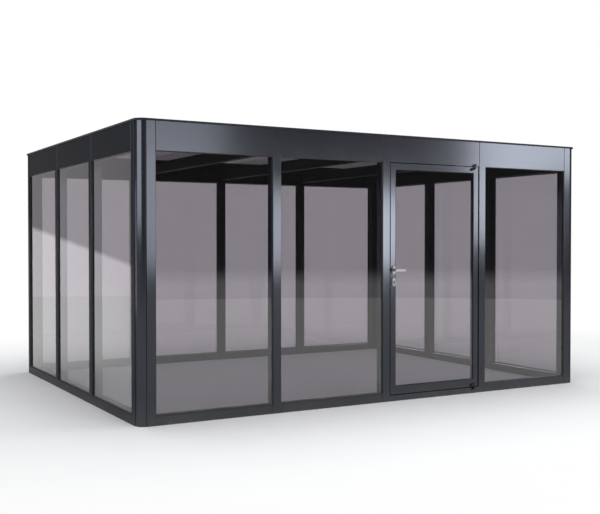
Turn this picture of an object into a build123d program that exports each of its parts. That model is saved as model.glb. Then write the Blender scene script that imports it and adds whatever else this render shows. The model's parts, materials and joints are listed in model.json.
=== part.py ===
from build123d import *
import os

# A flat-roofed glazed garden room: a grid of aluminium posts with one tall pane in each bay,
# deep fascias, a low glass roof behind a parapet, and one hinged door in the front wall.
# Millimetres. The origin is the middle of the footprint at ground level, +X runs to the right
# along the front wall, +Y runs from the front wall to the back wall, +Z is up.

# Overall heights
total_height = 2300.0
cap_thickness = 15.0
fascia_height = 220.0
roof_seat_drop = 105.0

# Bays
front_bays = 4
side_bays = 3
bay_clear = 994.0
door_bay = 3

# Posts
post_width = 72.0
post_depth = 95.0
edge_round = 1.5
inner_chamfer = 3.0

# Corner posts: a flat on each wall, and a quarter-round between two thin grooves
corner_round_radius = 63.0
corner_round_recess = 5.0
corner_groove = 3.0
corner_groove_bottom = 11.0

# Glazing
glass_recess = 14.0
pane_thickness = 8.0
slot_play = 0.5
slot_depth = 12.0
pane_edge_cover = 10.0

# Sills
sill_height = 74.0
sill_fall = 2.0
threshold_height = 52.0

# Fascia panels and capping
fascia_thickness = 4.0
panel_gap = 3.0
parapet_thickness = 34.0
cap_overhang = 8.0
cap_gap = 2.0

# Roof
gutter_width = 20.0
gutter_depth = 15.0
rafter_width = 60.0
rafter_height = 85.0
roof_pane_thickness = 10.0
roof_pane_gap = 10.0
roof_pane_inset = 62.0
roof_bar_width = 50.0
roof_bar_height = 12.0
roof_bar_chamfer = 4.0

# Door leaf
leaf_thickness = 45.0
leaf_lock_gap = 7.0
leaf_hinge_gap = 14.0
leaf_top_gap = 6.0
leaf_bottom_gap = 6.0
stile_width = 52.0
top_rail_height = 55.0
bottom_rail_height = 70.0
leaf_glass_recess = 8.0

# Door stops
stop_overlap = 9.0
stop_depth = 18.0
stop_running_gap = 5.0
hinge_stop_setback = 70.0
threshold_rib = 14.0

# Hinges: a vertical pin in front of the leaf's face at the top and the bottom
hinge_inset = 50.0
hinge_standoff = 12.0
hinge_arm_radius = 10.0
hinge_arm_reach = 28.0
bracket_radius = 7.0
bracket_reach = 12.0
bracket_rise = 2.0
upper_arm_rise = 12.0
lower_arm_rise = 9.0
arm_setback = 4.0
bracket_setback = 2.0
hinge_edge = 2.0
pin_radius = 3.0
pin_play = 0.3
collar_gap = 1.0

# Handles and lock
handle_inset = 31.0
handle_height = 1135.0
keyhole_drop = 101.0
rosette_width = 32.0
rosette_height = 74.0
rosette_thickness = 10.0
rosette_edge = 2.0
lever_reach = 92.0
lever_root_radius = 12.0
lever_tip_radius = 10.5
lever_thickness = 9.0
lever_edge = 2.5
lever_standoff = 48.0
neck_radius = 9.0
neck_play = 0.3
neck_end_gap = 1.0
spindle_radius = 5.0
spindle_play = 0.6
plug_radius = 8.5
key_leg_width = 10.0
key_leg_drop = 18.0
key_projection = 3.0
key_play = 0.3

# Worked-out sizes
pitch = bay_clear + post_width
parapet_top = total_height - cap_thickness
head_height = parapet_top - fascia_height
roof_seat = parapet_top - roof_seat_drop
corner_round_centre = corner_round_radius + corner_round_recess
flat_start = corner_round_centre + corner_groove
corner_reach = flat_start + post_width
front_half_clear = (front_bays * pitch - post_width) / 2
side_half_clear = (side_bays * pitch - post_width) / 2
half_width = front_half_clear + corner_reach
half_depth = side_half_clear + corner_reach
slot_front = glass_recess - slot_play
slot_width = pane_thickness + 2 * slot_play
slot_back = slot_front + slot_width
cap_inner_line = parapet_thickness + cap_overhang

# One plane for each wall: x along the wall, y inwards from its outer face, z up.
# Fascia joints stand over one edge of each post: seam_side is -1 for left or +1 for right.
walls = {
    "front": {
        "plane": Plane(origin=(0, -half_depth, 0), x_dir=(1, 0, 0), z_dir=(0, 0, 1)),
        "bays": front_bays,
        "seam_side": -1,
    },
    "back": {
        "plane": Plane(origin=(0, half_depth, 0), x_dir=(-1, 0, 0), z_dir=(0, 0, 1)),
        "bays": front_bays,
        "seam_side": 1,
    },
    "left": {
        "plane": Plane(origin=(-half_width, 0, 0), x_dir=(0, -1, 0), z_dir=(0, 0, 1)),
        "bays": side_bays,
        "seam_side": 1,
    },
    "right": {
        "plane": Plane(origin=(half_width, 0, 0), x_dir=(0, 1, 0), z_dir=(0, 0, 1)),
        "bays": side_bays,
        "seam_side": -1,
    },
}
corners = {
    "front_left": Plane(origin=(-half_width, -half_depth, 0), x_dir=(1, 0, 0), z_dir=(0, 0, 1)),
    "front_right": Plane(origin=(half_width, -half_depth, 0), x_dir=(0, 1, 0), z_dir=(0, 0, 1)),
    "back_right": Plane(origin=(half_width, half_depth, 0), x_dir=(-1, 0, 0), z_dir=(0, 0, 1)),
    "back_left": Plane(origin=(-half_width, half_depth, 0), x_dir=(0, -1, 0), z_dir=(0, 0, 1)),
}
front_wall = walls["front"]["plane"]

# A plane looking out of the front wall: x along it, y up
front_face = Plane(origin=(0, -half_depth, 0), x_dir=(1, 0, 0), z_dir=(0, -1, 0))

centred = (Align.CENTER, Align.MIN)
from_corner = (Align.MIN, Align.MIN)

os.makedirs("parts", exist_ok=True)


def save(piece, name):
    """Label a finished piece and write it to its own file."""
    piece.part.label = name
    export_step(piece.part, f"parts/{name}.step")


def section_plane(wall_plane, along):
    """A plane across a wall: x is the depth behind its outer face, y is the height."""
    origin = wall_plane.from_local_coords(Vector(along, 0, 0))
    return Plane(origin=origin, x_dir=wall_plane.y_dir, z_dir=wall_plane.x_dir)


def bay_centre(wall, bay):
    """Middle of a bay along its wall, counted from 1 at the left end."""
    return (bay - (wall["bays"] + 1) / 2) * pitch


def post_centres(wall):
    """Places of a wall's posts along it."""
    return [bay_centre(wall, bay) + pitch / 2 for bay in range(1, wall["bays"])]


def half_clear(wall):
    """Half the length between a wall's two corner posts."""
    return (wall["bays"] * pitch - post_width) / 2


def panel_spans(wall, gap):
    """Middle and length of each panel between a wall's joints."""
    shift = wall["seam_side"] * post_width / 2
    end = half_clear(wall) - gap / 2
    joints = [-end] + [centre + shift for centre in post_centres(wall)] + [end]
    return [((a + b) / 2, b - a - gap) for a, b in zip(joints, joints[1:])]


def make_posts(wall, glazed):
    """A wall's posts, with a glazing slot on each side that holds a pane."""
    with BuildPart() as posts:
        for number, centre in enumerate(post_centres(wall), start=1):
            with BuildSketch(wall["plane"]) as section:
                with Locations((centre, 0)):
                    Rectangle(post_width, post_depth, align=centred)
                fillet(section.vertices().group_by(Axis.Y)[0], radius=edge_round)
                chamfer(section.vertices().group_by(Axis.Y)[-1], length=inner_chamfer)
                for side, bay in ((-1, number), (1, number + 1)):
                    if bay in glazed:
                        with Locations((centre + side * post_width / 2, slot_front)):
                            Rectangle(2 * slot_depth, slot_width, align=centred, mode=Mode.SUBTRACT)
            extrude(amount=head_height)
    return posts


def make_corner_post(plane):
    """Two flats, two grooves and a quarter-round, cut back behind the parapet."""
    slot_floor = corner_reach - slot_depth
    with BuildPart() as post:
        with BuildSketch(plane) as section:
            with BuildLine():
                Polyline(
                    (corner_round_centre, corner_round_recess),
                    (corner_round_centre, corner_groove_bottom),
                    (flat_start, corner_groove_bottom),
                    (flat_start, 0),
                    (corner_reach, 0),
                    (corner_reach, slot_front),
                    (slot_floor, slot_front),
                    (slot_floor, slot_back),
                    (corner_reach, slot_back),
                    (corner_reach, post_depth),
                    (post_depth, post_depth),
                    (post_depth, corner_reach),
                    (slot_back, corner_reach),
                    (slot_back, slot_floor),
                    (slot_front, slot_floor),
                    (slot_front, corner_reach),
                    (0, corner_reach),
                    (0, flat_start),
                    (corner_groove_bottom, flat_start),
                    (corner_groove_bottom, corner_round_centre),
                    (corner_round_recess, corner_round_centre),
                )
                RadiusArc(
                    (corner_round_recess, corner_round_centre),
                    (corner_round_centre, corner_round_recess),
                    -corner_round_radius,
                )
            make_face()
            outer = section.vertices().group_by(Axis.X)[0] + section.vertices().group_by(Axis.Y)[0]
            fillet(outer, radius=edge_round)
        extrude(amount=parapet_top)
        with BuildSketch(plane.offset(roof_seat)):
            with Locations((parapet_thickness, parapet_thickness)):
                Rectangle(corner_reach, corner_reach, align=from_corner)
        extrude(amount=roof_seat_drop, mode=Mode.SUBTRACT)
    return post


def make_eaves_beam(wall, glazed):
    """Parapet, gutter and roof-glass seat over a wall's posts, with pane slots below."""
    gutter_edge = parapet_thickness + gutter_width
    gutter_floor = roof_seat - gutter_depth
    with BuildPart() as beam:
        with BuildSketch(section_plane(wall["plane"], -half_clear(wall))):
            with BuildLine():
                Polyline(
                    (fascia_thickness, head_height),
                    (post_depth, head_height),
                    (post_depth, roof_seat),
                    (gutter_edge, roof_seat),
                    (gutter_edge, gutter_floor),
                    (parapet_thickness, gutter_floor),
                    (parapet_thickness, parapet_top),
                    (fascia_thickness, parapet_top),
                    close=True,
                )
            make_face()
        extrude(amount=2 * half_clear(wall))
        with BuildSketch(wall["plane"].offset(head_height)):
            for bay in glazed:
                with Locations((bay_centre(wall, bay), slot_front)):
                    Rectangle(bay_clear + 2 * slot_depth, slot_width, align=centred)
        extrude(amount=slot_depth, mode=Mode.SUBTRACT)
    return beam


def make_fascia(wall):
    """Cladding panels in front of an eaves beam, with open joints."""
    with BuildPart() as fascia:
        for middle, length in panel_spans(wall, panel_gap):
            with BuildSketch(wall["plane"].offset(head_height)) as panel:
                with Locations((middle, 0)):
                    Rectangle(length, fascia_thickness, align=centred)
                fillet(panel.vertices().group_by(Axis.Y)[0], radius=edge_round)
            extrude(amount=fascia_height)
    return fascia


def make_cap(wall):
    """Lengths of capping on a wall's parapet, jointed over the fascia joints."""
    with BuildPart() as cap:
        for middle, length in panel_spans(wall, cap_gap):
            with BuildSketch(section_plane(wall["plane"], middle - length / 2)) as section:
                with Locations((-cap_overhang, parapet_top)):
                    Rectangle(cap_inner_line + cap_overhang, cap_thickness, align=from_corner)
                fillet(section.vertices().group_by(Axis.X)[0], radius=edge_round)
            extrude(amount=length)
    return cap


def make_sills(wall, glazed):
    """Ground rails between the posts, with a pane slot and a weathered top."""
    first_gap = panel_gap if wall["seam_side"] > 0 else 0
    with BuildPart() as sills:
        for bay in glazed:
            start = bay_centre(wall, bay) - bay_clear / 2 + first_gap
            with BuildSketch(section_plane(wall["plane"], start)) as section:
                with BuildLine():
                    Polyline(
                        (0, 0),
                        (post_depth, 0),
                        (post_depth, sill_height),
                        (slot_back, sill_height),
                        (slot_back, sill_height - slot_depth),
                        (slot_front, sill_height - slot_depth),
                        (slot_front, sill_height),
                        (0, sill_height - sill_fall),
                        close=True,
                    )
                make_face()
                fillet(section.vertices().group_by(Axis.X)[0].sort_by(Axis.Y)[-1], edge_round)
            extrude(amount=bay_clear - panel_gap)
    return sills


def make_panes(wall, glazed):
    """Wall panes, standing on the floor of the sill slot."""
    pane_bottom = sill_height - slot_depth
    with BuildPart() as panes:
        with BuildSketch(wall["plane"].offset(pane_bottom)):
            for bay in glazed:
                with Locations((bay_centre(wall, bay), glass_recess)):
                    Rectangle(bay_clear + 2 * pane_edge_cover, pane_thickness, align=centred)
        extrude(amount=head_height + pane_edge_cover - pane_bottom)
    return panes


# Corners
for corner, corner_plane in corners.items():
    save(make_corner_post(corner_plane), f"corner_post_{corner}")

corner_cap_reach = corner_reach + cap_overhang - cap_gap / 2
with BuildPart() as corner_caps:
    for corner_plane in corners.values():
        with BuildSketch(corner_plane.offset(parapet_top)) as corner_cap:
            with Locations((-cap_overhang, -cap_overhang)):
                Rectangle(corner_cap_reach, corner_cap_reach, align=from_corner)
            fillet(
                corner_cap.vertices().group_by(Axis.X)[0].sort_by(Axis.Y)[0],
                radius=corner_round_centre + cap_overhang,
            )
            with Locations((cap_inner_line, cap_inner_line)):
                Rectangle(corner_reach, corner_reach, align=from_corner, mode=Mode.SUBTRACT)
        extrude(amount=cap_thickness)
save(corner_caps, "corner_caps")

# Walls
for side, wall in walls.items():
    every_bay = range(1, wall["bays"] + 1)
    glazed_bays = [bay for bay in every_bay if side != "front" or bay != door_bay]
    save(make_posts(wall, glazed_bays), f"{side}_posts")
    save(make_eaves_beam(wall, glazed_bays), f"{side}_eaves_beam")
    save(make_fascia(wall), f"{side}_fascia")
    save(make_cap(wall), f"{side}_cap")
    save(make_sills(wall, glazed_bays), f"{side}_sills")
    save(make_panes(wall, glazed_bays), f"{side}_panes")

# Rafters run over the posts, from the front eaves beam to the back one
with BuildPart() as rafters:
    with BuildSketch(Plane.XY.offset(roof_seat - rafter_height)):
        with GridLocations(pitch, 1, front_bays - 1, 1):
            Rectangle(rafter_width, 2 * (half_depth - post_depth))
    extrude(amount=rafter_height)
    chamfer(rafters.edges().filter_by(Axis.Y).group_by(Axis.Z)[0], length=inner_chamfer)
save(rafters, "rafters")

# Roof glass: one sheet over each bay, from gutter to gutter
roof_width = 2 * (half_width - roof_pane_inset)
roof_depth = 2 * (half_depth - roof_pane_inset)
with BuildPart() as roof_panes:
    with BuildSketch(Plane.XY.offset(roof_seat)):
        Rectangle(roof_width, roof_depth)
        with GridLocations(pitch, 1, front_bays - 1, 1):
            Rectangle(roof_pane_gap, roof_depth, mode=Mode.SUBTRACT)
    extrude(amount=roof_pane_thickness)
save(roof_panes, "roof_panes")

# Bars over the joints in the roof glass
with BuildPart() as roof_bars:
    with BuildSketch(Plane.XY.offset(roof_seat + roof_pane_thickness)):
        with GridLocations(pitch, 1, front_bays - 1, 1):
            Rectangle(roof_bar_width, roof_depth)
    extrude(amount=roof_bar_height)
    chamfer(roof_bars.edges().filter_by(Axis.Y).group_by(Axis.Z)[-1], length=roof_bar_chamfer)
save(roof_bars, "roof_bars")

# Doorway, measured along the front wall from its middle
doorway_centre = bay_centre(walls["front"], door_bay)
doorway_left = doorway_centre - bay_clear / 2
doorway_right = doorway_centre + bay_clear / 2
rib_top = threshold_height + threshold_rib

with BuildPart() as door_threshold:
    with BuildSketch(section_plane(front_wall, doorway_left)) as threshold_section:
        with BuildLine():
            Polyline(
                (0, 0),
                (post_depth, 0),
                (post_depth, threshold_height),
                (hinge_stop_setback + stop_depth, rib_top),
                (hinge_stop_setback, rib_top),
                (hinge_stop_setback, threshold_height),
                (0, threshold_height - sill_fall),
                close=True,
            )
        make_face()
        fillet(threshold_section.vertices().group_by(Axis.X)[0].sort_by(Axis.Y)[-1], edge_round)
    extrude(amount=bay_clear)
save(door_threshold, "door_threshold")

# Stops behind the leaf. Those at the head and the hinge side stand further back, out of the
# way of the leaf's edge as it swings past them.
head_stop_foot = head_height - leaf_top_gap - stop_overlap
with BuildPart() as door_stops:
    with BuildSketch(front_wall.offset(head_stop_foot)):
        with Locations((doorway_centre, hinge_stop_setback)):
            Rectangle(bay_clear, stop_depth, align=centred)
    extrude(amount=head_height - head_stop_foot)
    with BuildSketch(front_wall.offset(threshold_height)):
        with Locations((doorway_left, leaf_thickness + stop_running_gap)):
            Rectangle(leaf_lock_gap + stop_overlap, stop_depth, align=from_corner)
    extrude(amount=head_height - threshold_height)
    with BuildSketch(front_wall.offset(rib_top)):
        with Locations((doorway_right, hinge_stop_setback)):
            Rectangle(leaf_hinge_gap + stop_overlap, stop_depth, align=(Align.MAX, Align.MIN))
    extrude(amount=head_stop_foot - stop_running_gap - rib_top)
save(door_stops, "door_stops")

# Door leaf: stiles and rails mitred together around the pane
leaf_left = doorway_left + leaf_lock_gap
leaf_right = doorway_right - leaf_hinge_gap
leaf_bottom = threshold_height + leaf_bottom_gap
leaf_top = head_height - leaf_top_gap
glass_left = leaf_left + stile_width
glass_right = leaf_right - stile_width
glass_bottom = leaf_bottom + bottom_rail_height
glass_top = leaf_top - top_rail_height
glass_middle = ((glass_left + glass_right) / 2, (glass_bottom + glass_top) / 2)
handle_along = leaf_left + handle_inset
keyhole_height = handle_height - keyhole_drop


def make_leaf_piece(outline, long_axis):
    """A mitred length of the leaf frame with the pane's slot cut along its inner edge."""
    with BuildPart() as piece:
        with BuildSketch(front_face):
            Polygon(*outline, align=None)
        extrude(amount=-leaf_thickness)
        fillet(piece.edges().filter_by(long_axis), radius=edge_round)
        with BuildSketch(front_face.offset(slot_play - leaf_glass_recess)):
            with Locations(glass_middle):
                Rectangle(
                    glass_right - glass_left + 2 * slot_depth,
                    glass_top - glass_bottom + 2 * slot_depth,
                )
        extrude(amount=-slot_width, mode=Mode.SUBTRACT)
    return piece


def lock_outline(play):
    """The outline of a key cylinder: a round plug over a narrower leg."""
    with Locations((handle_along, keyhole_height)):
        Circle(plug_radius + play)
        Rectangle(
            key_leg_width + 2 * play,
            key_leg_drop + play,
            align=(Align.CENTER, Align.MAX),
        )


lock_stile_outline = (
    (leaf_left, leaf_bottom),
    (glass_left, glass_bottom),
    (glass_left, glass_top),
    (leaf_left, leaf_top),
)
lock_stile_blank = make_leaf_piece(lock_stile_outline, Axis.Z)
with BuildPart() as door_stile_lock:
    add(lock_stile_blank.part)
    with BuildSketch(front_face):
        with Locations((handle_along, handle_height)):
            Circle(spindle_radius + spindle_play)
        lock_outline(key_play)
    extrude(amount=-leaf_thickness, mode=Mode.SUBTRACT)
save(door_stile_lock, "door_stile_lock")

hinge_stile_outline = (
    (leaf_right, leaf_bottom),
    (leaf_right, leaf_top),
    (glass_right, glass_top),
    (glass_right, glass_bottom),
)
save(make_leaf_piece(hinge_stile_outline, Axis.Z), "door_stile_hinge")

top_rail_outline = (
    (leaf_left, leaf_top),
    (glass_left, glass_top),
    (glass_right, glass_top),
    (leaf_right, leaf_top),
)
save(make_leaf_piece(top_rail_outline, Axis.X), "door_rail_top")

bottom_rail_outline = (
    (leaf_left, leaf_bottom),
    (leaf_right, leaf_bottom),
    (glass_right, glass_bottom),
    (glass_left, glass_bottom),
)
save(make_leaf_piece(bottom_rail_outline, Axis.X), "door_rail_bottom")

with BuildPart() as door_pane:
    with BuildSketch(front_face.offset(-leaf_glass_recess)):
        with Locations((glass_middle[0], glass_bottom - slot_depth)):
            Rectangle(
                glass_right - glass_left + 2 * pane_edge_cover,
                glass_top - glass_bottom + slot_depth + pane_edge_cover,
                align=centred,
            )
    extrude(amount=-pane_thickness)
save(door_pane, "door_pane")

# Hinges: slanting arms on the leaf's face turn on pins held by brackets on the frame
hinge_along = leaf_right - hinge_inset
upper_pin_end = leaf_top - arm_setback
upper_pin_seat = head_height + bracket_setback + bracket_radius
lower_pin_end = leaf_bottom + arm_setback + 2 * hinge_arm_radius + lower_arm_rise
lower_pin_seat = threshold_height - sill_fall - bracket_setback - bracket_radius
lower_arm_slope = lower_arm_rise / hinge_arm_reach
lower_arm_depth = hinge_arm_radius * (1 + (1 + lower_arm_slope**2) ** 0.5)
collar_top = lower_pin_end - lower_arm_depth - bracket_radius * lower_arm_slope - collar_gap
pin_plane = Plane(origin=(hinge_along, -half_depth - hinge_standoff, 0))


def slanting_outline(radius, pin_height, across, upward):
    """A round-ended outline from the pin to a far end, seen from the front."""
    far_end = (hinge_along + across, pin_height + upward)
    with BuildSketch(front_face) as outline:
        with Locations((hinge_along, pin_height), far_end):
            Circle(radius)
        make_hull()
    return outline.sketch


upper_bracket = slanting_outline(bracket_radius, upper_pin_seat, bracket_reach, bracket_rise)
lower_bracket = slanting_outline(bracket_radius, lower_pin_seat, -bracket_reach, -bracket_rise)
with BuildPart() as hinge_brackets:
    extrude(upper_bracket, amount=hinge_standoff + bracket_radius)
    extrude(lower_bracket, amount=hinge_standoff + bracket_radius)
    fillet(hinge_brackets.faces().sort_by(Axis.Y)[:2].edges(), radius=hinge_edge)
    with BuildSketch(pin_plane.offset(upper_pin_end - 2 * hinge_arm_radius)):
        Circle(pin_radius)
    extrude(amount=upper_pin_seat - upper_pin_end + 2 * hinge_arm_radius)
    with BuildSketch(pin_plane.offset(lower_pin_seat)):
        Circle(pin_radius)
    extrude(amount=lower_pin_end - lower_pin_seat)
    with BuildSketch(pin_plane.offset(lower_pin_seat)):
        Circle(bracket_radius)
    extrude(amount=collar_top - lower_pin_seat)
save(hinge_brackets, "hinge_brackets")

upper_arm = slanting_outline(
    hinge_arm_radius, upper_pin_end - hinge_arm_radius, -hinge_arm_reach, -upper_arm_rise
)
lower_arm = slanting_outline(
    hinge_arm_radius, lower_pin_end - hinge_arm_radius, -hinge_arm_reach, -lower_arm_rise
)
with BuildPart() as hinge_arms:
    extrude(upper_arm, amount=hinge_standoff + bracket_radius)
    extrude(lower_arm, amount=hinge_standoff + bracket_radius)
    fillet(hinge_arms.faces().sort_by(Axis.Y)[:2].edges(), radius=hinge_edge)
    with BuildSketch(pin_plane):
        Circle(pin_radius + pin_play)
    extrude(amount=total_height, mode=Mode.SUBTRACT)
save(hinge_arms, "hinge_arms")

# Rosettes on both faces of the leaf, and the key cylinder through the lower pair
leaf_middle = front_face.offset(-leaf_thickness / 2)
with BuildPart() as rosettes:
    with BuildSketch(front_face):
        with Locations((handle_along, handle_height), (handle_along, keyhole_height)):
            SlotOverall(rosette_height, rosette_width, rotation=90)
    extrude(amount=rosette_thickness)
    fillet(rosettes.faces().sort_by(Axis.Y)[:2].edges(), radius=rosette_edge)
    with BuildSketch(front_face):
        with Locations((handle_along, handle_height)):
            Circle(neck_radius + neck_play)
        lock_outline(key_play)
    extrude(amount=rosette_thickness, mode=Mode.SUBTRACT)
    mirror(about=leaf_middle)
save(rosettes, "rosettes")

with BuildPart() as lock_cylinder:
    with BuildSketch(leaf_middle):
        lock_outline(0)
    extrude(amount=leaf_thickness / 2 + rosette_thickness + key_projection, both=True)
save(lock_cylinder, "lock_cylinder")

# Levers on both faces of the leaf, on one spindle
lever_back = lever_standoff - lever_thickness
with BuildPart() as lever:
    with BuildSketch(front_face.offset(lever_back)):
        with Locations((handle_along, handle_height)):
            Circle(lever_root_radius)
        with Locations((handle_along + lever_reach, handle_height)):
            Circle(lever_tip_radius)
        make_hull()
    extrude(amount=lever_thickness)
    fillet(lever.faces().filter_by(Axis.Y).edges(), radius=lever_edge)
    with BuildSketch(front_face.offset(neck_end_gap)):
        with Locations((handle_along, handle_height)):
            Circle(neck_radius)
    extrude(amount=lever_back - neck_end_gap + lever_edge)
    with BuildSketch(leaf_middle):
        with Locations((handle_along, handle_height)):
            Circle(spindle_radius)
    extrude(amount=leaf_thickness / 2 + lever_back)
    mirror(about=leaf_middle)
save(lever, "lever")
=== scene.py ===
"""Dresses the glass greenhouse: paint, glass, gaskets, seals, screws and lock parts."""

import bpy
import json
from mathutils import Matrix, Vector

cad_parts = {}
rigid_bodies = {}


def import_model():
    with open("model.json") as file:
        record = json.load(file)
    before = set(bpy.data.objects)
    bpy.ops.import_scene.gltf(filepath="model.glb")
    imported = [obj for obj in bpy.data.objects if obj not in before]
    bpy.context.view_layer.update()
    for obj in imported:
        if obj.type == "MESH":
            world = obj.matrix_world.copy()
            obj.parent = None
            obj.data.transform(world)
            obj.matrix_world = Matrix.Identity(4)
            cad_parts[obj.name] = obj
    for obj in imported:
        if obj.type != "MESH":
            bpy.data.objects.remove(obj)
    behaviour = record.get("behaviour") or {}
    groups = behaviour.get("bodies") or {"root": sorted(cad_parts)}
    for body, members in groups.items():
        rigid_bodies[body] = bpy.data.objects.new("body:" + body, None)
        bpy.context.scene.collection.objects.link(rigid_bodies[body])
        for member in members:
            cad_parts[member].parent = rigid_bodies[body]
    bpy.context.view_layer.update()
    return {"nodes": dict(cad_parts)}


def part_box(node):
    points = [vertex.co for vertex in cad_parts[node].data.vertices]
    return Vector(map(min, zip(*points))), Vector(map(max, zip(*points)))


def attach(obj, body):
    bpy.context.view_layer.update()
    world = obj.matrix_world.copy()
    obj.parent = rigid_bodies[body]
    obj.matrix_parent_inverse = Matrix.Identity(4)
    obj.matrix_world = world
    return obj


bl_info = {
    "name": "Glass Greenhouse",
    "version": (1, 0, 0),
    "blender": (4, 5, 0),
    "location": "3D View > Sidebar > Greenhouse",
    "description": "Dresses a glazed garden room with its paint, glass, seals and fittings",
    "category": "Object",
}

import json
import math

import bmesh
import bpy
from bpy.props import FloatProperty, FloatVectorProperty, PointerProperty
from bpy.types import Operator, Panel, PropertyGroup
from mathutils import Matrix, Vector

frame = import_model()
nodes = frame["nodes"]


def low(node):
    """The lowest corner of a node of the frame."""
    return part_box(node)[0]


def high(node):
    """The highest corner of a node of the frame."""
    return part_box(node)[1]


# Sizes read from the frame, in metres
FRONT_BAYS = 4
SIDE_BAYS = 3
FRONT_FACE = low("front_fascia").y
BACK_FACE = high("back_fascia").y
LEFT_FACE = low("left_fascia").x
RIGHT_FACE = high("right_fascia").x
HEAD = low("front_fascia").z
SILL = high("front_sills").z
GLASS_FRONT = low("front_panes").y - FRONT_FACE
PANE_THICKNESS = high("front_panes").y - low("front_panes").y
# The last post's outer edge and the beam's end, added up, are a pitch for each bay but one
PITCH = (high("front_posts").x + high("front_eaves_beam").x) / (FRONT_BAYS - 1)
POST_WIDTH = 2 * (high("front_posts").x - (FRONT_BAYS / 2 - 1) * PITCH)
BAY_CLEAR = PITCH - POST_WIDTH
JAMB = low("door_stops").x
LEAF_EDGE = low("door_stile_lock").x
LEAF_MIDDLE = (low("door_stile_lock").y + high("door_stile_lock").y) / 2
DOOR_GLASS_LOW = Vector((high("door_stile_lock").x, low("door_pane").y, high("door_rail_bottom").z))
DOOR_GLASS_HIGH = Vector((low("door_stile_hinge").x, high("door_pane").y, low("door_rail_top").z))
HANDLE = Vector(
    (
        (low("rosettes").x + high("rosettes").x) / 2,
        low("rosettes").y,
        (low("lever").z + high("lever").z) / 2,
    )
)
PLUG = Vector(
    (
        (low("lock_cylinder").x + high("lock_cylinder").x) / 2,
        low("lock_cylinder").y,
        high("lock_cylinder").z - (high("lock_cylinder").x - low("lock_cylinder").x) / 2,
    )
)

# Small sizes that the frame's boxes don't give, in metres
ARM_RADIUS = 0.01
UPPER_ARM_RISE = 0.012
BEAD_CORNER = 0.0012
STOP_SEAL_CORNER = 0.0018
STOP_SEAL_DEPTH = 0.0045
JOINT_WIDTH = 0.003
JOINT_SEAL_WIDTH = 0.0034
JOINT_SEAL_DEPTH = 0.08
JOINT_SEAL_SETBACK = 0.006
JOINT_SEAL_DROP = 0.014
# Radius of the black disc of painted shadow round the lever's neck
NECK_SHADOW_RADIUS = 0.0125


# Node trees


class Wire:
    """An output of a node, with the operators that add Math nodes."""

    def __init__(self, net, socket):
        self.net = net
        self.socket = socket

    def _math(self, operation, *values):
        return self.net.add("ShaderNodeMath", {"operation": operation}, *values)

    def __add__(self, other):
        return self._math("ADD", self, other)

    __radd__ = __add__

    def __sub__(self, other):
        return self._math("SUBTRACT", self, other)

    def __rsub__(self, other):
        return self._math("SUBTRACT", other, self)

    def __mul__(self, other):
        return self._math("MULTIPLY", self, other)

    __rmul__ = __mul__

    def __truediv__(self, other):
        return self._math("DIVIDE", self, other)

    def __pow__(self, other):
        return self._math("POWER", self, other)

    def clamped(self):
        """The value held between 0 and 1."""
        return self.net.add("ShaderNodeClamp", {}, self)

    def largest(self, other):
        """The larger of two values."""
        return self._math("MAXIMUM", self, other)

    def output(self, name):
        """Another output of the same node."""
        return Wire(self.net, self.socket.node.outputs[name])


class Net:
    """A node tree and the one method that adds nodes to it."""

    def __init__(self, tree):
        self.tree = tree

    def plug(self, socket, value):
        """Links a wire to a socket, or sets the socket's own value."""
        if isinstance(value, Wire):
            self.tree.links.new(value.socket, socket)
        else:
            socket.default_value = value

    def add(self, kind, settings, *values, out=0, **named):
        """Adds a node, applies its settings, then its inputs in order or by name."""
        node = self.tree.nodes.new(kind)
        for key, setting in settings.items():
            setattr(node, key, setting)
        enabled = [socket for socket in node.inputs if socket.enabled]
        for socket, value in zip(enabled, values):
            if value is not None:
                self.plug(socket, value)
        for name, value in named.items():
            title = name.replace("_", " ")
            found = [socket for socket in node.inputs if socket.name == title and socket.enabled]
            if not found:
                raise RuntimeError(f"{kind} has no input {title}")
            self.plug(found[0], value)
        outputs = [socket for socket in node.outputs if socket.enabled]
        return Wire(self, outputs[out] if isinstance(out, int) else node.outputs[out])

    def mix(self, factor, first, second):
        """Mixes two colours."""
        return self.add(
            "ShaderNodeMix", {"data_type": "RGBA"}, Factor=factor, A=first, B=second
        )

    def place(self, scale=(1, 1, 1)):
        """Object coordinates, stretched."""
        where = self.add("ShaderNodeTexCoord", {}, out="Object")
        return self.add("ShaderNodeMapping", {"vector_type": "POINT"}, where, Scale=scale)

    def noise(self, where, scale, detail=2.0, roughness=0.5):
        """A noise between about 0 and 1."""
        return self.add(
            "ShaderNodeTexNoise",
            {},
            Vector=where,
            Scale=scale,
            Detail=detail,
            Roughness=roughness,
        )

    def height(self):
        """Height above the ground."""
        where = self.add("ShaderNodeTexCoord", {}, out="Object")
        return self.add("ShaderNodeSeparateXYZ", {}, where, out="Z")

    def seen(self):
        """One on rays from the camera or from gloss or glass, zero on the others."""
        path = self.add("ShaderNodeLightPath", {}, out="Is Camera Ray")
        return path.largest(path.output("Is Glossy Ray")).largest(
            path.output("Is Transmission Ray")
        )

    def bump(self, height, distance, strength):
        """A bumped normal."""
        return self.add(
            "ShaderNodeBump", {}, Strength=strength, Distance=distance, Height=height
        )


def new_material(name):
    """The net of a new material, with nothing in it but the output node, and that node."""
    made = bpy.data.materials.new(name)
    made.use_nodes = True
    tree = made.node_tree
    tree.nodes.clear()
    return Net(tree), tree.nodes.new("ShaderNodeOutputMaterial")


def finish_material(net, output, shader):
    """Links a shader to the material's output."""
    net.plug(output.inputs["Surface"], shader)


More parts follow.
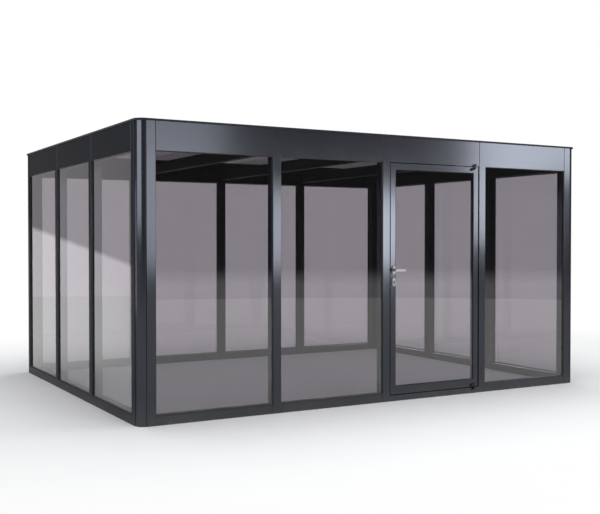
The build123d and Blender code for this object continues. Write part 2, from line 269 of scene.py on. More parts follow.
def powder_coat(name, tone, gloss, sheen):
    """Satin powder coat: fine orange peel, slow changes of tone, dust near the ground."""
    net, output = new_material(name)
    broad = net.noise(net.place((1.0, 1.0, 0.35)), 1.4, 3.0)
    fine = net.noise(net.place(), 26.0, 4.0, 0.6)
    grain = net.noise(net.place(), 620.0, 2.0, 0.5)
    cells = net.add(
        "ShaderNodeTexVoronoi", {"feature": "F1"}, Vector=net.place(), Scale=430.0
    )
    dark = tuple(channel * 0.86 for channel in tone) + (1,)
    light = tuple(channel * 1.16 for channel in tone) + (1,)
    dust = (0.19, 0.165, 0.135, 1)
    dust_top = 0.3
    low_down = ((dust_top - net.height()) / dust_top).clamped() ** 2.0
    splash = low_down * (broad * 0.7 + fine * 0.5)
    colour = net.mix((broad * 0.7 + fine * 0.3).clamped(), dark, light)
    colour = net.mix((splash * 0.16).clamped(), colour, dust)
    rough = gloss + (broad - 0.5) * 0.05 + (fine - 0.5) * 0.06 + splash * 0.2
    normal = net.bump(grain * 0.6 + cells * 0.4, 0.00006, 0.4)
    shader = net.add(
        "ShaderNodeBsdfPrincipled",
        {},
        Base_Color=colour,
        Metallic=(sheen - splash * 0.4).clamped(),
        Roughness=rough,
        Normal=normal,
        Specular_IOR_Level=0.1,
        Specular_Tint=(0.1, 0.1, 0.11, 1),
    )
    finish_material(net, output, shader)


def smoked_glass(name, tint, film, grazing):
    """Grey-tinted float glass with a faint film of dust that gathers low down."""
    net, output = new_material(name)
    facing = net.add("ShaderNodeLayerWeight", {}, Blend=0.5, out="Facing")
    back = net.add("ShaderNodeNewGeometry", {}, out="Backfacing")
    head_on = 0.085
    mirror = (head_on + grazing * facing ** 4.0) * (1.0 - back)
    clear = net.add("ShaderNodeBsdfTransparent", {}, Color=tint)
    gloss = net.add("ShaderNodeBsdfGlossy", {}, Color=(1, 1, 1, 1), Roughness=0.015)
    pane = net.add("ShaderNodeMixShader", {}, mirror, clear, gloss)
    streaks = net.noise(net.place((9.0, 9.0, 0.8)), 3.0, 5.0, 0.6)
    clouds = net.noise(net.place(), 2.2, 3.0)
    dust_top = 0.75
    low_down = ((dust_top - net.height()) / dust_top).clamped() ** 1.5
    dust = (film * (streaks * 0.6 + clouds * 0.4) * (0.15 + low_down)).clamped()
    haze = net.add(
        "ShaderNodeBsdfDiffuse", {}, Color=(0.62, 0.6, 0.57, 1), Roughness=0.0
    )
    shader = net.add("ShaderNodeMixShader", {}, dust, pane, haze)
    finish_material(net, output, shader)


def satin_metal(name, tone, along):
    """Brushed satin metal with a fine grain in one direction."""
    net, output = new_material(name)
    grain = net.noise(net.place(along), 14.0, 6.0, 0.65)
    wear = net.noise(net.place(), 60.0, 3.0)
    dark = tuple(channel * 0.8 for channel in tone) + (1,)
    light = tuple(min(1.0, channel * 1.12) for channel in tone) + (1,)
    shader = net.add(
        "ShaderNodeBsdfPrincipled",
        {},
        Base_Color=net.mix(grain, dark, light),
        Metallic=1.0,
        Roughness=0.2 + grain * 0.14 + wear * 0.06,
        Normal=net.bump(grain, 0.00004, 0.5),
    )
    finish_material(net, output, shader)


def black_coat(name):
    """Semi-gloss black enamel with a cast surface under it; it also colours the black painted shade
    round the lever's neck and in the keyway.
    """
    net, output = new_material(name)
    cast = net.noise(net.place(), 380.0, 4.0, 0.6)
    rub = net.noise(net.place(), 45.0, 3.0)
    shader = net.add(
        "ShaderNodeBsdfPrincipled",
        {},
        Base_Color=net.mix(rub, (0.006, 0.006, 0.007, 1), (0.02, 0.02, 0.021, 1)),
        Roughness=0.3 + rub * 0.18,
        Normal=net.bump(cast, 0.00008, 0.5),
    )
    finish_material(net, output, shader)


def rubber(name):
    """Black glazing rubber, dusty along its length."""
    net, output = new_material(name)
    skin = net.noise(net.place(), 240.0, 3.0)
    bloom = net.noise(net.place(), 7.0, 4.0, 0.6)
    shader = net.add(
        "ShaderNodeBsdfPrincipled",
        {},
        Base_Color=net.mix(bloom, (0.007, 0.007, 0.007, 1), (0.028, 0.027, 0.026, 1)),
        Roughness=0.5 + bloom * 0.25,
        Normal=net.bump(skin, 0.00005, 0.6),
    )
    finish_material(net, output, shader)


def material(name):
    """A finish that is already made."""
    found = bpy.data.materials.get(name)
    if found is None:
        raise RuntimeError(f"the finish {name} isn't made yet")
    return found


# Geometry trees


class GeometryNet(Net):
    """A geometry tree with named inputs, made for one modifier."""

    def __init__(self, name, sizes):
        tree = bpy.data.node_groups.new(name, "GeometryNodeTree")
        super().__init__(tree)
        self.keys = {}
        kinds = {float: "NodeSocketFloat", int: "NodeSocketInt", tuple: "NodeSocketVector"}
        face = tree.interface
        face.new_socket(name="Geometry", in_out="INPUT", socket_type="NodeSocketGeometry")
        for title, value in sizes.items():
            item = face.new_socket(
                name=title, in_out="INPUT", socket_type=kinds[type(value)]
            )
            item.default_value = value
            self.keys[title] = (item.identifier, value)
        face.new_socket(name="Geometry", in_out="OUTPUT", socket_type="NodeSocketGeometry")
        self.source = tree.nodes.new("NodeGroupInput")
        self.sink = tree.nodes.new("NodeGroupOutput")

    def given(self, title):
        """One of the named inputs."""
        return Wire(self, self.source.outputs[title])

    def vector(self, x, y, z):
        """A vector from three values."""
        return self.add("ShaderNodeCombineXYZ", {}, x, y, z)

    def join(self, *parts):
        """Several geometries as one."""
        node = self.tree.nodes.new("GeometryNodeJoinGeometry")
        for part in parts:
            self.tree.links.new(part.socket, node.inputs[0])
        return Wire(self, node.outputs[0])

    def strip(self, start, end, profile):
        """A closed strip with one profile from one point to another."""
        line = self.add("GeometryNodeCurvePrimitiveLine", {}, start, end)
        return self.add(
            "GeometryNodeCurveToMesh", {}, Curve=line, Profile_Curve=profile, Fill_Caps=True
        )

    def moved(self, geometry, by, turned):
        """A geometry turned, then moved."""
        return self.add(
            "GeometryNodeTransform", {}, geometry, Translation=by, Rotation=turned
        )

    def finish(self, geometry, finish_name):
        """Realizes what is instanced, gives it its finish and ends the tree."""
        real = self.add("GeometryNodeRealizeInstances", {}, geometry)
        painted = self.add(
            "GeometryNodeSetMaterial", {}, real, Material=material(finish_name)
        )
        self.tree.links.new(painted.socket, self.sink.inputs[0])


def grow(name, net, body, points=(), sizes=None):
    """Runs a geometry tree on a new object and keeps its result as a plain mesh."""
    seed = bpy.data.meshes.new(name)
    seed.from_pydata([tuple(point) for point in points], [], [])
    maker = bpy.data.objects.new(name + "_maker", seed)
    bpy.context.scene.collection.objects.link(maker)
    modifier = maker.modifiers.new("Shape", "NODES")
    modifier.node_group = net.tree
    for title, (key, value) in net.keys.items():
        wanted = (sizes or {}).get(title, value)
        modifier[key] = wanted
    depsgraph = bpy.context.evaluated_depsgraph_get()
    mesh = bpy.data.meshes.new_from_object(maker.evaluated_get(depsgraph))
    bpy.data.objects.remove(maker)
    mesh.name = name
    if not mesh.polygons:
        raise RuntimeError(f"{name} came out empty")
    piece = bpy.data.objects.new(name, mesh)
    bpy.context.scene.collection.objects.link(piece)
    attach(piece, body)


def rounded_bar(width, depth, net, corner):
    """A rounded rectangular profile."""
    square = net.add(
        "GeometryNodeCurvePrimitiveQuadrilateral", {"mode": "RECTANGLE"}, width, depth
    )
    return net.add(
        "GeometryNodeFilletCurve", {"mode": "POLY"}, Curve=square, Count=3, Radius=corner
    )


def lathe(name, profile, centre, axis, sides, finish_name, body):
    """A turned piece from a profile of (radius, distance along the axis) points."""
    shape = bmesh.new()
    rings = []
    for radius, along in profile:
        if radius < 1e-7:
            rings.append([shape.verts.new((0, 0, along))])
            continue
        ring = []
        for step in range(sides):
            angle = 2 * math.pi * step / sides
            x = radius * math.cos(angle)
            y = radius * math.sin(angle)
            ring.append(shape.verts.new((x, y, along)))
        rings.append(ring)
    for first, second in zip(rings, rings[1:]):
        for step in range(sides):
            following = (step + 1) % sides
            if len(first) == 1 and len(second) > 1:
                shape.faces.new((first[0], second[step], second[following]))
            elif len(second) == 1 and len(first) > 1:
                shape.faces.new((first[following], first[step], second[0]))
            elif len(first) > 1:
                shape.faces.new(
                    (first[step], second[step], second[following], first[following])
                )
    bmesh.ops.recalc_face_normals(shape, faces=shape.faces)
    turn = Vector((0, 0, 1)).rotation_difference(Vector(axis)).to_matrix().to_4x4()
    shape.transform(Matrix.Translation(centre) @ turn)
    keep_shape(name, shape, finish_name, body)


def keep_shape(name, shape, finish_name, body):
    """Turns a bmesh into a finished piece that rides on a body."""
    mesh = bpy.data.meshes.new(name)
    shape.to_mesh(mesh)
    shape.free()
    mesh.materials.append(material(finish_name))
    piece = bpy.data.objects.new(name, mesh)
    bpy.context.scene.collection.objects.link(piece)
    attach(piece, body)


def bevelled_plate(name, lowest, highest, bevel, finish_name, body):
    """A plate with bevelled edges between two corners."""
    shape = bmesh.new()
    bmesh.ops.create_cube(shape, size=1.0)
    size = Vector(highest) - Vector(lowest)
    middle = (Vector(highest) + Vector(lowest)) / 2
    shape.transform(Matrix.Translation(middle) @ Matrix.Diagonal((*size, 1)))
    bmesh.ops.bevel(
        shape, geom=shape.edges, offset=bevel, segments=2, profile=0.5, affect="EDGES"
    )
    keep_shape(name, shape, finish_name, body)


# Settings


class GreenhouseSizes(PropertyGroup):
    """Sizes of the seals and fittings."""

    bead_width: FloatProperty(
        name="Bead width",
        description="Width of the glazing bead seen beside the frame",
        default=0.005,
        min=0.001,
        max=0.02,
        unit="LENGTH",
    )
    bead_depth: FloatProperty(
        name="Bead depth",
        description="How far the glazing bead stands off the glass",
        default=0.006,
        min=0.001,
        max=0.012,
        unit="LENGTH",
    )
    screw_radius: FloatProperty(
        name="Screw radius",
        description="Radius of a screw head",
        default=0.0035,
        min=0.001,
        max=0.01,
        unit="LENGTH",
    )
    seal_width: FloatProperty(
        name="Seal width",
        description="Width of the soft seal on the door stops",
        default=0.007,
        min=0.002,
        max=0.02,
        unit="LENGTH",
    )


class GreenhouseColours(PropertyGroup):
    """Colours of the finishes."""

    paint: FloatVectorProperty(
        name="Paint",
        description="Colour of the powder coat",
        default=(0.0378, 0.0405, 0.0482),
        subtype="COLOR",
        min=0.0,
        max=1.0,
        size=3,
    )
    glass: FloatVectorProperty(
        name="Glass",
        description="Tint of one face of a pane",
        default=(0.72, 0.703, 0.724),
        subtype="COLOR",
        min=0.0,
        max=1.0,
        size=3,
    )
    roof_glass: FloatVectorProperty(
        name="Roof glass",
        description="Tint of one face of a roof pane",
        default=(0.4, 0.39, 0.405),
        subtype="COLOR",
        min=0.0,
        max=1.0,
        size=3,
    )
    metal: FloatVectorProperty(
        name="Handle metal",
        description="Colour of the satin metal",
        default=(0.62, 0.62, 0.635),
        subtype="COLOR",
        min=0.0,
        max=1.0,
        size=3,
    )
    film: FloatProperty(
        name="Dust film",
        description="How much dust lies on the glass",
        default=0.05,
        min=0.0,
        max=1.0,
        subtype="FACTOR",
    )


# Pieces


class GREENHOUSE_OT_paint(Operator):
    """Makes the finishes and gives each node of the frame its own"""

    bl_idname = "greenhouse.paint"
    bl_label = "Paint the frame"

    def execute(self, context):
        colours = context.scene.greenhouse_colours
        paint = tuple(colours.paint)
        powder_coat("paint_wall", paint, 0.13, 0.7)
        powder_coat("paint_fascia", tuple(c * 0.98 for c in paint), 0.14, 0.7)
        # Darker copies of the same paint, with no metallic: painted shade, at half the tone on the
        # roof bars and caps and at a fifth of it on the rafters and eaves beams inside
        powder_coat("paint_roof_painted_shade", tuple(c * 0.5 for c in paint), 0.5, 0.0)
        powder_coat("paint_shaded", tuple(c * 0.2 for c in paint), 0.5, 0.0)
        smoked_glass("glass_wall", tuple(colours.glass) + (1,), colours.film, 0.915)
        smoked_glass("glass_roof", tuple(colours.roof_glass) + (1,), colours.film * 1.6, 0.05)
        satin_metal("metal_satin", tuple(colours.metal), (1.0, 30.0, 30.0))
        # A far darker copy of the satin metal: painted shade on the lock's cylinder and plug
        satin_metal("metal_painted_shade", tuple(c * 0.15 for c in colours.metal), (30.0, 30.0, 30.0))
        black_coat("black_enamel_and_painted_shade")
        rubber("rubber_black")
        finishes = {
            "roof_panes": "glass_roof",
            "door_pane": "glass_wall",
            "lever": "metal_satin",
            "rosettes": "metal_satin",
            "lock_cylinder": "metal_painted_shade",
            "hinge_arms": "black_enamel_and_painted_shade",
            "hinge_brackets": "black_enamel_and_painted_shade",
            "rafters": "paint_shaded",
            "roof_bars": "paint_roof_painted_shade",
        }
        for name, node in nodes.items():
            finish_name = finishes.get(name)
            if finish_name is None:
                if name.endswith("_panes"):
                    finish_name = "glass_wall"
                elif name.endswith("_fascia"):
                    finish_name = "paint_fascia"
                elif name.endswith("_eaves_beam"):
                    finish_name = "paint_shaded"
                elif name.endswith(("_cap", "_caps")):
                    finish_name = "paint_roof_painted_shade"
                else:
                    finish_name = "paint_wall"
            node.data.materials.clear()
            node.data.materials.append(material(finish_name))
        return {"FINISHED"}


WALLS = {
    "front": ((0.0, FRONT_FACE, 0.0), 0.0, FRONT_BAYS),
    "right": ((RIGHT_FACE, 0.0, 0.0), math.pi / 2, SIDE_BAYS),
    "back": ((0.0, BACK_FACE, 0.0), math.pi, FRONT_BAYS),
    "left": ((LEFT_FACE, 0.0, 0.0), -math.pi / 2, SIDE_BAYS),
}


def bead_tree(name, finish_name):
    """Butted beads round one pane on both of its faces, repeated along a wall."""
    net = GeometryNet(
        name,
        {
            "Panes": 4,
            "Pitch": PITCH,
            "First": 0.0,
            "Width": BAY_CLEAR,
            "Bottom": SILL,
            "Top": HEAD,
            "Bead Width": 0.005,
            "Outer Depth": 0.006,
            "Outer Face": GLASS_FRONT,
            "Inner Face": GLASS_FRONT + PANE_THICKNESS,
            "Place": (0.0, 0.0, 0.0),
            "Turn": (0.0, 0.0, 0.0),
        },
    )
    half = net.given("Width") / 2.0
    bead = net.given("Bead Width")
    depth = net.given("Outer Depth")
    bottom = net.given("Bottom")
    top = net.given("Top")
    profile = rounded_bar(bead, depth, net, BEAD_CORNER)
    upright = rounded_bar(depth, bead, net, BEAD_CORNER)
    parts = []
    for face, side in (("Outer Face", -1.0), ("Inner Face", 1.0)):
        y = net.given(face) + depth * (0.5 * side)
        for sign in (-1.0, 1.0):
            x = half * sign - bead * (0.5 * sign)
            parts.append(
                net.strip(net.vector(x, y, bottom), net.vector(x, y, top), upright)
            )
        for level, sign in ((bottom, 1.0), (top, -1.0)):
            z = level + bead * (0.5 * sign)
            parts.append(
                net.strip(
                    net.vector(bead - half, y, z), net.vector(half - bead, y, z), profile
                )
            )
    one = net.join(*parts)
    row = net.add(
        "GeometryNodeMeshLine",
        {"mode": "OFFSET"},
        Count=net.given("Panes"),
        Start_Location=net.vector(net.given("First"), 0.0, 0.0),
        Offset=net.vector(net.given("Pitch"), 0.0, 0.0),
    )
    beads = net.add("GeometryNodeInstanceOnPoints", {}, Points=row, Instance=one)
    placed = net.moved(beads, net.given("Place"), net.given("Turn"))
    net.finish(placed, finish_name)
    return net


def joint_tree(name, finish_name):
    """Compressed seals in the joints at the ends of the sills, repeated along a wall."""
    net = GeometryNet(
        name,
        {
            "Joints": 4,
            "Pitch": PITCH,
            "First": 0.0,
            "Width": JOINT_SEAL_WIDTH,
            "Depth": JOINT_SEAL_DEPTH,
            "Setback": JOINT_SEAL_SETBACK,
            "Top": SILL - JOINT_SEAL_DROP,
            "Place": (0.0, 0.0, 0.0),
            "Turn": (0.0, 0.0, 0.0),
        },
    )
    depth = net.given("Depth")
    y = net.given("Setback") + depth / 2.0
    profile = rounded_bar(depth, net.given("Width"), net, BEAD_CORNER)
    foot = net.vector(0.0, y, 0.001)
    head = net.vector(0.0, y, net.given("Top"))
    row = net.add(
        "GeometryNodeMeshLine",
        {"mode": "OFFSET"},
        Count=net.given("Joints"),
        Start_Location=net.vector(net.given("First"), 0.0, 0.0),
        Offset=net.vector(net.given("Pitch"), 0.0, 0.0),
    )
    seals = net.add(
        "GeometryNodeInstanceOnPoints",
        {},
        Points=row,
        Instance=net.strip(foot, head, profile),
    )
    net.finish(net.moved(seals, net.given("Place"), net.given("Turn")), finish_name)
    return net


class GREENHOUSE_OT_wall_beads(Operator):
    """Lays the beads round every wall pane and the seals in the sills' joints"""

    bl_idname = "greenhouse.wall_beads"
    bl_label = "Lay the wall beads and seals"

    def execute(self, context):
        sizes = context.scene.greenhouse_sizes
        net = bead_tree("wall_beads", "rubber_black")
        joints = joint_tree("sill_joints", "rubber_black")
        for side, (place, turn, bays) in WALLS.items():
            # The open joint is at the end of each sill that lies further along +X or +Y
            joint_end = 1 if side in ("front", "right") else -1
            shift = (BAY_CLEAR - JOINT_WIDTH) / 2 * joint_end
            first = -(bays - 1) / 2 * PITCH
            runs = [("", first, bays)]
            if side == "front":
                runs = [("_left", first, 2), ("_right", first + 3 * PITCH, 1)]
            for ending, start, count in runs:
                grow(
                    f"{side}_beads{ending}",
                    net,
                    "frame",
                    sizes={
                        "Panes": count,
                        "First": start,
                        "Bead Width": sizes.bead_width,
                        "Outer Depth": sizes.bead_depth,
                        "Place": place,
                        "Turn": (0.0, 0.0, turn),
                    },
                )
                grow(
                    f"{side}_sill_joints{ending}",
                    joints,
                    "frame",
                    sizes={
                        "Joints": count,
                        "First": start + shift,
                        "Place": place,
                        "Turn": (0.0, 0.0, turn),
                    },
                )
        return {"FINISHED"}


def stop_seal_tree(name, finish_name):
    """A soft upright seal that the closed leaf rests against."""
    net = GeometryNet(
        name,
        {
            "Width": 0.007,
            "Depth": STOP_SEAL_DEPTH,
            "Low": (0.0, 0.0, 0.0),
            "High": (0.0, 0.0, 1.0),
        },
    )
    profile = rounded_bar(net.given("Depth"), net.given("Width"), net, STOP_SEAL_CORNER)
    net.finish(net.strip(net.given("Low"), net.given("High"), profile), finish_name)
    return net


class GREENHOUSE_OT_door_beads(Operator):
    """Lays the beads round the door's pane and the soft seal on the lock side's stop"""

    bl_idname = "greenhouse.door_beads"
    bl_label = "Lay the door beads and seal"

    def execute(self, context):
        sizes = context.scene.greenhouse_sizes
        net = bead_tree("door_beads", "rubber_black")
        middle = (DOOR_GLASS_LOW.x + DOOR_GLASS_HIGH.x) / 2
        grow(
            "door_pane_beads",
            net,
            "door",
            sizes={
                "Panes": 1,
                "First": middle,
                "Width": DOOR_GLASS_HIGH.x - DOOR_GLASS_LOW.x,
                "Bottom": DOOR_GLASS_LOW.z,
                "Top": DOOR_GLASS_HIGH.z,
                "Bead Width": sizes.bead_width,
                "Outer Depth": sizes.bead_depth,
                "Outer Face": DOOR_GLASS_LOW.y - FRONT_FACE,
                "Inner Face": DOOR_GLASS_HIGH.y - FRONT_FACE,
                "Place": (0.0, FRONT_FACE, 0.0),
            },
        )
        x = LEAF_EDGE + 0.001 + sizes.seal_width / 2
        y = low("door_stops").y - STOP_SEAL_DEPTH / 2
        grow(
            "stop_seal",
            stop_seal_tree("stop_seal", "rubber_black"),
            "frame",
            sizes={
                "Width": sizes.seal_width,
                "Low": (x, y, high("door_threshold").z + 0.004),
                "High": (x, y, high("door_rail_top").z - 0.02),
            },
        )
        return {"FINISHED"}


def screw_tree(name, finish_name):
    """A domed screw head with a round recess at each given point."""
    net = GeometryNet(name, {"Radius": 0.0035, "Turn": (math.pi / 2, 0.0, 0.0)})
    # Parts of the head's radius, then widths as parts of the face that they start from
    shank_rise = 0.5
    dome_rise = 0.22
    recess_depth = 0.45
    dome_width = 0.72
    recess_width = 0.62
    radius = net.given("Radius")
    head = net.add(
        "GeometryNodeMeshCylinder",
        {"fill_type": "NGON"},
        Vertices=24,
        Radius=radius,
        Depth=radius * shank_rise,
        out="Mesh",
    )
    normal = net.add("GeometryNodeInputNormal", {})
    upward = net.add("ShaderNodeSeparateXYZ", {}, normal, out="Z")
    is_top = net.add("FunctionNodeCompare", {"data_type": "FLOAT"}, upward, 0.9)
    dome = net.add(
        "GeometryNodeExtrudeMesh",
        {"mode": "FACES"},
        Mesh=head,
        Selection=is_top,
        Offset_Scale=radius * dome_rise,
        out="Mesh",
    )
    domed = net.add(
        "GeometryNodeScaleElements", {"domain": "FACE"}, dome, dome.output("Top"), dome_width
    )
    rim = net.add(
        "GeometryNodeExtrudeMesh",
        {"mode": "FACES"},
        Mesh=domed,
        Selection=dome.output("Top"),
        Offset_Scale=0.0,
        out="Mesh",
    )
    narrowed = net.add(
        "GeometryNodeScaleElements", {"domain": "FACE"}, rim, rim.output("Top"), recess_width
    )
    recess = net.add(
        "GeometryNodeExtrudeMesh",
        {"mode": "FACES"},
        Mesh=narrowed,
        Selection=rim.output("Top"),
        Offset_Scale=radius * -recess_depth,
        out="Mesh",
    )
    points = Wire(net, net.source.outputs["Geometry"])
    screws = net.add(
        "GeometryNodeInstanceOnPoints",
        {},
        Points=points,
        Instance=recess,
        Rotation=net.given("Turn"),
    )
    net.finish(screws, finish_name)
    return net


class GREENHOUSE_OT_screws(Operator):
    """Drives the screws at the far ends of the hinges' arms"""

    bl_idname = "greenhouse.screws"
    bl_label = "Drive the screws"

    def execute(self, context):
        radius = context.scene.greenhouse_sizes.screw_radius
        dark = screw_tree("hinge_screws", "black_enamel_and_painted_shade")
        arm_low, arm_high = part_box("hinge_arms")
        front = arm_low.y + 0.0005
        along = arm_low.x + ARM_RADIUS
        grow(
            "hinge_arm_screws",
            dark,
            "door",
            [
                (along, front, arm_high.z - ARM_RADIUS - UPPER_ARM_RISE),
                (along, front, arm_low.z + ARM_RADIUS),
            ],
            {"Radius": radius},
        )
        return {"FINISHED"}


class GREENHOUSE_OT_lock(Operator):
    """Fits the key plug, a black disc of painted shadow round the lever's neck, the face plate and
    the strike plate
    """

    bl_idname = "greenhouse.lock"
    bl_label = "Fit the lock parts"

    def execute(self, context):
        self.key_plug()
        # A thin black disc round the lever's neck: painted shadow on the rosette
        lathe(
            "neck_ring",
            [(0.0, 0.0), (NECK_SHADOW_RADIUS, 0.0), (NECK_SHADOW_RADIUS, 0.0008), (0.0, 0.0012)],
            HANDLE,
            (0, -1, 0),
            36,
            "black_enamel_and_painted_shade",
            "door",
        )
        self.keyway()
        self.edge_plate(
            "lock_face_plate",
            LEAF_EDGE - 0.0009,
            LEAF_EDGE + 0.0006,
            half_width=0.01,
            below=0.17,
            above=0.07,
            body="door",
        )
        self.edge_plate(
            "strike_plate",
            JAMB - 0.0004,
            JAMB + 0.0012,
            half_width=0.012,
            below=0.15,
            above=0.05,
            body="frame",
        )
        return {"FINISHED"}

    def edge_plate(self, name, left, right, half_width, below, above, body):
        """An upright satin plate, between two values of x, level with the handle."""
        bevelled_plate(
            name,
            (left, LEAF_MIDDLE - half_width, HANDLE.z - below),
            (right, LEAF_MIDDLE + half_width, HANDLE.z + above),
            0.0005,
            "metal_satin",
            body,
        )

    def key_plug(self):
        """The plug that the key turns."""
        radius = 0.0054
        chamfer = 0.0004
        root = -0.0004
        rise = 0.0013
        lathe(
            "key_plug",
            [
                (0.0, root),
                (radius, root),
                (radius, rise - chamfer),
                (radius - chamfer, rise),
                (0.0, rise),
            ],
            PLUG,
            (0, -1, 0),
            36,
            "metal_painted_shade",
            "door",
        )

    def keyway(self):
        """The key's slot, as a black inlay in the plug's face: painted shade for the slot's depth.
        """
        half_width = 0.0009
        half_height = 0.0042
        bevelled_plate(
            "keyway",
            (PLUG.x - half_width, PLUG.y - 0.00165, PLUG.z - half_height),
            (PLUG.x + half_width, PLUG.y - 0.0008, PLUG.z + half_height),
            0.0003,
            "black_enamel_and_painted_shade",
            "door",
        )


# Softboxes that the front wall mirrors: name, middle across and up, size, strength
FRONT_BOX_Y = -13.7
FRONT_BOXES = (
    ("strip_left", (2.3, 3.9), (3.6, 1.2), 5.4),
    ("strip_left_low", (2.3, 2.05), (3.6, 2.5), 7.2),
    ("strip_between", (5.2, 1.65), (2.0, 1.8), 11.0),
    ("strip_middle", (7.9, 1.65), (3.4, 1.9), 17.0),
    ("strip_right_foot", (10.8, 2.3), (1.2, 1.4), 6.0),
    ("strip_right_low", (12.25, 3.9), (2.3, 5.2), 17.0),
    ("strip_right_high", (14.9, 4.8), (3.0, 3.4), 16.0),
)
# Softboxes that the rounded corner mirrors: name, place, target, size, strength
CORNER_BOXES = (
    ("strip_corner_side", (-13.6, -5.4, 3.8), (-2.2, -1.7, 1.5), (15.0, 4.4), 7.0),
    ("strip_corner_back", (-10.2, 7.2, 1.2), (-2.2, -1.7, 1.2), (6.6, 2.6), 5.0),
)
# The softbox that the back and right walls mirror
FAR_BOX = ("strip_far", (11.0, 11.5, 2.6), (0.5, 0.5, 1.2), (6.0, 4.4), 5.0)
SATIN_PIECES = ("lever", "rosettes", "lock_cylinder", "key_plug")

# The camera, fitted to the photograph's straight lines
PHOTO_WIDTH = 600
FOCAL_PIXELS = 929.107
SENSOR_WIDTH = 36.0
CAMERA_PLACE = (-4.60265, -8.26665, 1.39027)
CAMERA_YAW = math.radians(29.7338)
CAMERA_PITCH = math.radians(-1.01398)


def aim(thing, target):
    """Turns a lamp or camera towards a point."""
    way = Vector(target) - thing.location
    thing.rotation_euler = way.to_track_quat("-Z", "Y").to_euler()


def soft_lamp(name, place, target, size, power):
    """A rectangular soft lamp that the camera doesn't see."""
    data = bpy.data.lights.new(name, "AREA")
    data.shape = "RECTANGLE"
    data.size, data.size_y = size
    data.energy = power
    lamp = bpy.data.objects.new(name, data)
    lamp.location = place
    lamp.visible_camera = False
    bpy.context.scene.collection.objects.link(lamp)
    aim(lamp, target)
    return lamp


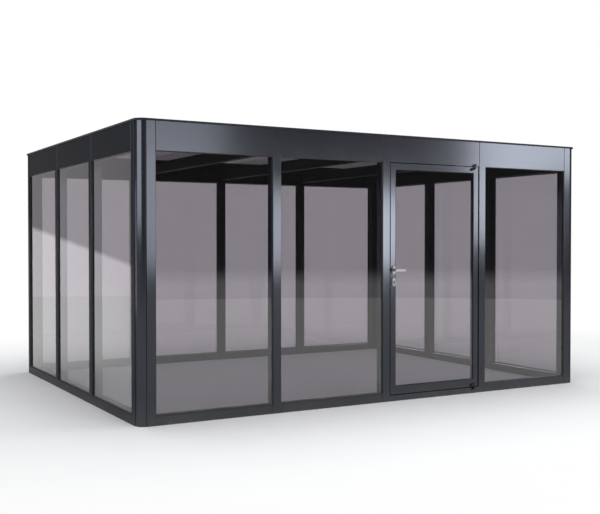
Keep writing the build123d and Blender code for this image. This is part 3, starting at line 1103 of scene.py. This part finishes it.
class GREENHOUSE_OT_stage(Operator):
    """Sets up the floor, the soft light and the camera"""

    bl_idname = "greenhouse.stage"
    bl_label = "Set the stage"

    def execute(self, context):
        scene = context.scene
        self.floor()
        self.sky(scene)
        self.lamps()
        self.softboxes(scene)
        self.camera(scene)
        scene.view_settings.view_transform = "Standard"
        return {"FINISHED"}

    def lamps(self):
        """The soft lamps that light the object, and one that only its satin metal shows."""
        top = soft_lamp("top_light", (0.0, 0.0, 9.0), (0, 0, 0), (9, 8), 900)
        front = soft_lamp("front_light", (1.0, -12.0, 8.0), (0, 0, 1.0), (8, 3), 460)
        top.visible_glossy = False
        front.visible_glossy = False
        satin = bpy.data.collections.new("bright_metal")
        for name in SATIN_PIECES:
            satin.objects.link(bpy.data.objects[name])
        gleam = soft_lamp("handle_light", (4.5, -11.0, 2.4), (0.1, -1.7, 1.1), (5, 3.4), 64)
        gleam.light_linking.receiver_collection = satin

    def softboxes(self, scene):
        """The softboxes that the painted metal mirrors, and nothing else."""
        near = bpy.data.collections.new("near_metal")
        far = bpy.data.collections.new("far_metal")
        for thing in scene.objects:
            plain = thing.name == "floor" or thing.name in SATIN_PIECES or "pane" in thing.name
            if thing.type != "MESH" or plain or thing.name.startswith("hinge_"):
                continue
            behind = thing.name.startswith(("back_", "right_", "corner_post_back"))
            (far if behind else near).objects.link(thing)
        boxes = [
            (name, (x, FRONT_BOX_Y, z), (x, 0.0, z), size, strength)
            for name, (x, z), size, strength in FRONT_BOXES
        ]
        for name, place, target, size, strength in (*boxes, *CORNER_BOXES, FAR_BOX):
            power = strength * math.pi * size[0] * size[1]
            lamp = soft_lamp(name, place, target, size, power)
            lamp.light_linking.receiver_collection = far if name == FAR_BOX[0] else near

    def camera(self, scene):
        """A camera at the photograph's place and angle."""
        data = bpy.data.cameras.new("camera")
        data.sensor_fit = "HORIZONTAL"
        data.sensor_width = SENSOR_WIDTH
        data.lens = FOCAL_PIXELS / PHOTO_WIDTH * SENSOR_WIDTH
        data.clip_end = 200.0
        camera = bpy.data.objects.new("camera", data)
        scene.collection.objects.link(camera)
        camera.location = CAMERA_PLACE
        level = math.cos(CAMERA_PITCH)
        way = Vector(
            (math.sin(CAMERA_YAW) * level, math.cos(CAMERA_YAW) * level, math.sin(CAMERA_PITCH))
        )
        aim(camera, camera.location + way)
        scene.camera = camera

    def floor(self):
        """A wide pale floor that keeps the object's shadow and fades to white."""
        shape = bmesh.new()
        bmesh.ops.create_circle(shape, cap_ends=True, segments=96, radius=16.0)
        mesh = bpy.data.meshes.new("floor")
        shape.to_mesh(mesh)
        shape.free()
        net, output = new_material("floor_pale")
        mottle = net.noise(net.place(), 3.0, 4.0)
        pale = net.add(
            "ShaderNodeBsdfPrincipled",
            {},
            Base_Color=net.mix(mottle, (0.8, 0.8, 0.8, 1), (0.84, 0.84, 0.84, 1)),
            Roughness=0.85,
        )
        # The fade follows an oval, because the object is wider than it is deep
        where = net.add("ShaderNodeTexCoord", {}, out="Object")
        oval = net.add("ShaderNodeVectorMath", {"operation": "MULTIPLY"}, where, (0.75, 1.0, 0.0))
        reach = net.add("ShaderNodeVectorMath", {"operation": "LENGTH"}, oval, out="Value")
        far = net.add(
            "ShaderNodeMapRange",
            {"interpolation_type": "SMOOTHSTEP"},
            Value=reach,
            From_Min=2.2,
            From_Max=5.5,
        )
        white = net.add("ShaderNodeEmission", {}, (1, 1, 1, 1), 1.0)
        shader = net.add("ShaderNodeMixShader", {}, far * net.seen(), pale, white)
        finish_material(net, output, shader)
        mesh.materials.append(material("floor_pale"))
        floor = bpy.data.objects.new("floor", mesh)
        bpy.context.scene.collection.objects.link(floor)

    def sky(self, scene):
        """A white backdrop, and a graded studio where metal and glass reflect it."""
        world = bpy.data.worlds.new("studio")
        scene.world = world
        world.use_nodes = True
        world.node_tree.nodes.clear()
        net = Net(world.node_tree)
        output = world.node_tree.nodes.new("ShaderNodeOutputWorld")
        path = net.add("ShaderNodeLightPath", {}, out="Is Camera Ray")
        way = net.add("ShaderNodeTexCoord", {}, out="Generated")
        across = net.add("ShaderNodeSeparateXYZ", {}, way, out="X")
        back = across.output("Y")
        up = across.output("Z")
        # Behind the object the sky is bright below a sloping edge and grey above it
        horizon = -0.03
        edge = (0.101 + 0.362 * across / back.largest(0.05)).largest(horizon)
        below_edge = ((edge - up) * 180.0 + 0.5).clamped()
        back_level = 0.42 + below_edge * 0.73
        # In front of it the studio is dark down to the floor
        below_horizon = ((horizon - up) * 60.0).clamped()
        front_level = 0.03 + below_horizon * 0.6
        behind = (back * 1.6 + 0.45).clamped()
        level = behind * back_level + (1.0 - behind) * front_level
        gloss = net.add("ShaderNodeBackground", {}, (0.99, 0.955, 1.0, 1), level)
        soft = net.add("ShaderNodeBackground", {}, (0.93, 0.96, 1.0, 1), 0.4)
        white = net.add("ShaderNodeBackground", {}, (1, 1, 1, 1), 1.0)
        lit = net.add("ShaderNodeMixShader", {}, path.output("Is Glossy Ray"), soft, gloss)
        seen = path.largest(path.output("Is Transmission Ray"))
        net.plug(
            output.inputs["Surface"], net.add("ShaderNodeMixShader", {}, seen, lit, white)
        )


class GREENHOUSE_PT_panel(Panel):
    """Lists the greenhouse's operators and settings"""

    bl_label = "Greenhouse"
    bl_idname = "GREENHOUSE_PT_panel"
    bl_space_type = "VIEW_3D"
    bl_region_type = "UI"
    bl_category = "Greenhouse"

    def draw(self, context):
        layout = self.layout
        sizes = context.scene.greenhouse_sizes
        for name in ("bead_width", "bead_depth", "screw_radius", "seal_width"):
            layout.prop(sizes, name)
        colours = context.scene.greenhouse_colours
        for name in ("paint", "glass", "roof_glass", "metal", "film"):
            layout.prop(colours, name)
        for operator in OPERATORS:
            layout.operator(operator.bl_idname)


OPERATORS = (
    GREENHOUSE_OT_paint,
    GREENHOUSE_OT_wall_beads,
    GREENHOUSE_OT_door_beads,
    GREENHOUSE_OT_screws,
    GREENHOUSE_OT_lock,
    GREENHOUSE_OT_stage,
)
CLASSES = (GreenhouseSizes, GreenhouseColours, *OPERATORS, GREENHOUSE_PT_panel)


def register():
    """Registers the classes and the scene's settings."""
    for item in CLASSES:
        bpy.utils.register_class(item)
    bpy.types.Scene.greenhouse_sizes = PointerProperty(type=GreenhouseSizes)
    bpy.types.Scene.greenhouse_colours = PointerProperty(type=GreenhouseColours)


def unregister():
    """Removes the settings and the classes."""
    del bpy.types.Scene.greenhouse_colours
    del bpy.types.Scene.greenhouse_sizes
    for item in reversed(CLASSES):
        bpy.utils.unregister_class(item)


def main():
    """Makes every piece in order."""
    register()
    for operator in OPERATORS:
        group, name = operator.bl_idname.split(".")
        getattr(getattr(bpy.ops, group), name)()


if __name__ == "__main__":
    main()
